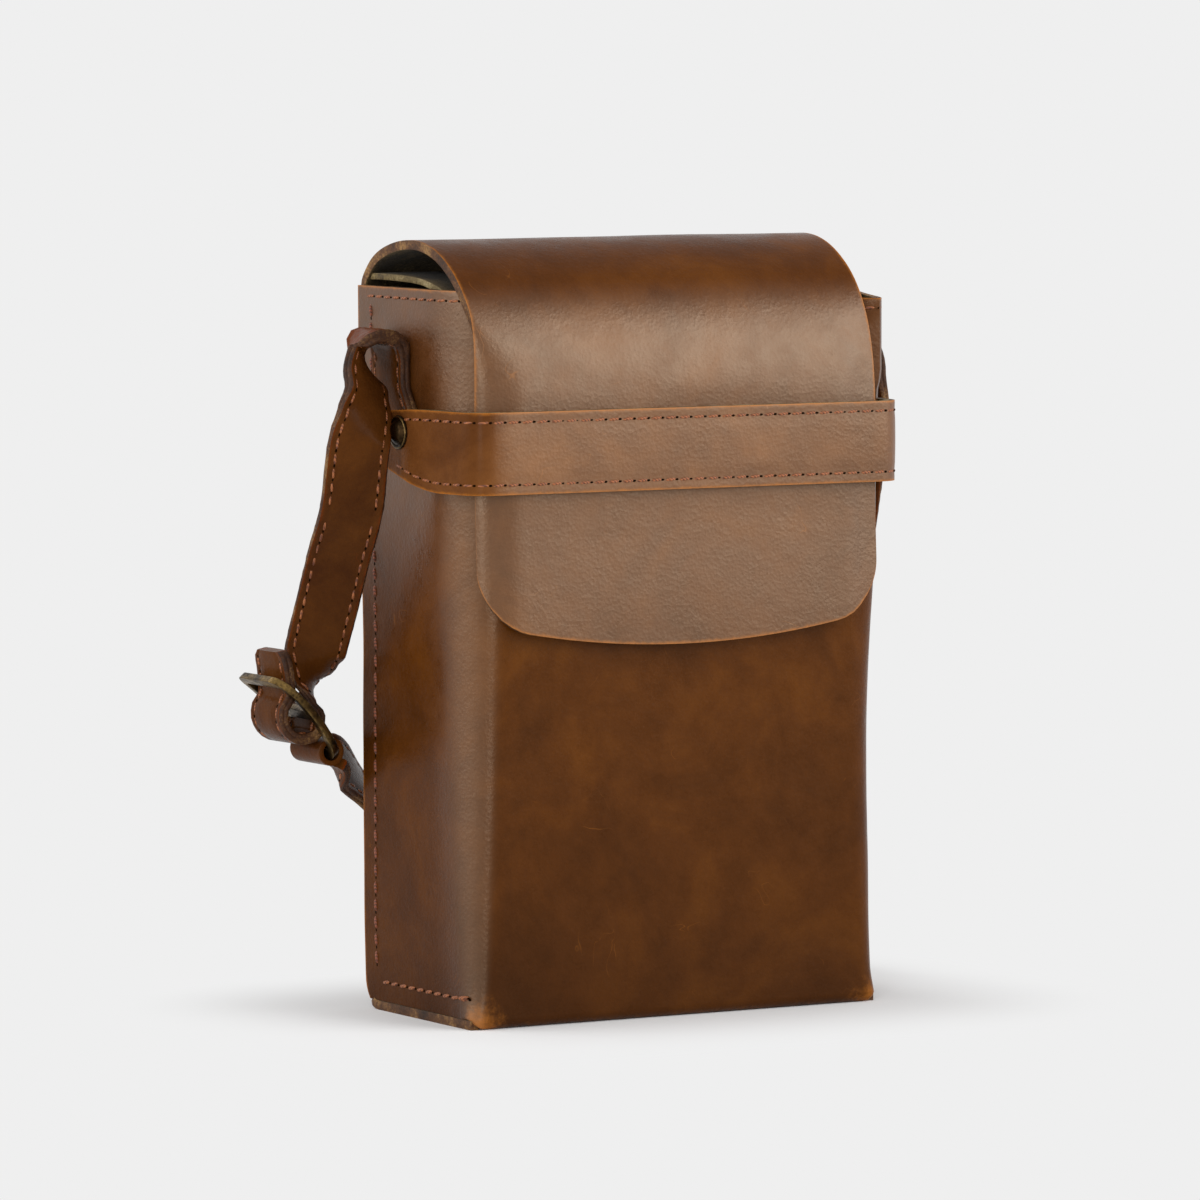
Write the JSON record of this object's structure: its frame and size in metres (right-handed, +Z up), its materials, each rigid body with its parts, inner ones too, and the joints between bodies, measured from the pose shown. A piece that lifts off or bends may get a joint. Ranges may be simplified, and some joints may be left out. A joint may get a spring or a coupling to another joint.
{
  "type": "camera case",
  "caption": "Upright leather camera case with a long curved flap tucked under a riveted band, an inner dust flap and a folded side strap with a slide buckle.",
  "frame": {"origin": "centre of the base, on the surface that the case stands on", "axes": "+X along the width towards the right side, -Y out of the front that the flap's tongue covers, +Z up"},
  "size_m": [0.1797, 0.1565, 0.1857],
  "materials": {
    "body_leather": "polished, worn at the edges",
    "band_leather": "polished, worn at the edges",
    "lining_leather": "matt flesh side",
    "strap_leather": "polished, creased",
    "antique_brass": "darkened",
    "burr_brass": "dull",
    "waxed_thread": "waxed linen"
  },
  "bodies": {
    "case": {"front_shell": "body_leather", "back_and_base": "body_leather", "rim_facing": "lining_leather", "base_pad": "lining_leather", "closing_band": "band_leather", "closing_band_lining": "lining_leather", "band_thread_lower": "waxed_thread", "band_thread_upper": "waxed_thread", "rim_thread_left": "waxed_thread", "rim_thread_right": "waxed_thread", "side_seam_thread_left": "waxed_thread", "side_seam_thread_right": "waxed_thread", "rivet_left": "antique_brass", "rivet_right": "antique_brass", "rivet_washer_left": "burr_brass", "rivet_washer_right": "burr_brass", "strap_end_left": "strap_leather", "strap_end_right": "strap_leather"},
    "lid": {"flap": "body_leather"},
    "dust_flap": {"dust_flap": "lining_leather"},
    "strap": {"strap_short": "strap_leather", "strap_long": "strap_leather"},
    "buckle": {"buckle_frame": "antique_brass"}
  },
  "joints": [
    {"name": "lid_lift", "type": "hinge", "parent": "case", "child": "lid", "pos_m": [0, 0.0277, 0.174], "axis": [-1, 0, 0], "range_deg": [0, 165], "deforming": ["closing_band", "closing_band_lining", "band_thread_lower", "band_thread_upper"]},
    {"name": "dust_flap_lift", "type": "hinge", "parent": "case", "child": "dust_flap", "pos_m": [0, 0.0252, 0.1742], "axis": [-1, 0, 0], "range_deg": [0, 99.5]},
    {"name": "strap_swing", "type": "hinge", "parent": "case", "child": "strap", "pos_m": [0, 0.0082, 0.156], "axis": [1, 0, 0], "range_deg": [0, 170]},
    {"name": "buckle_rock", "type": "hinge", "parent": "strap", "child": "buckle", "pos_m": [-0.06678, 0.031, 0.06245], "axis": [0, 1, 0], "range_deg": [-4, 2]}
  ],
  "couplings": [
    {"joint": "dust_flap_lift", "follows": "lid_lift", "ratio": 0.6}
  ]
}
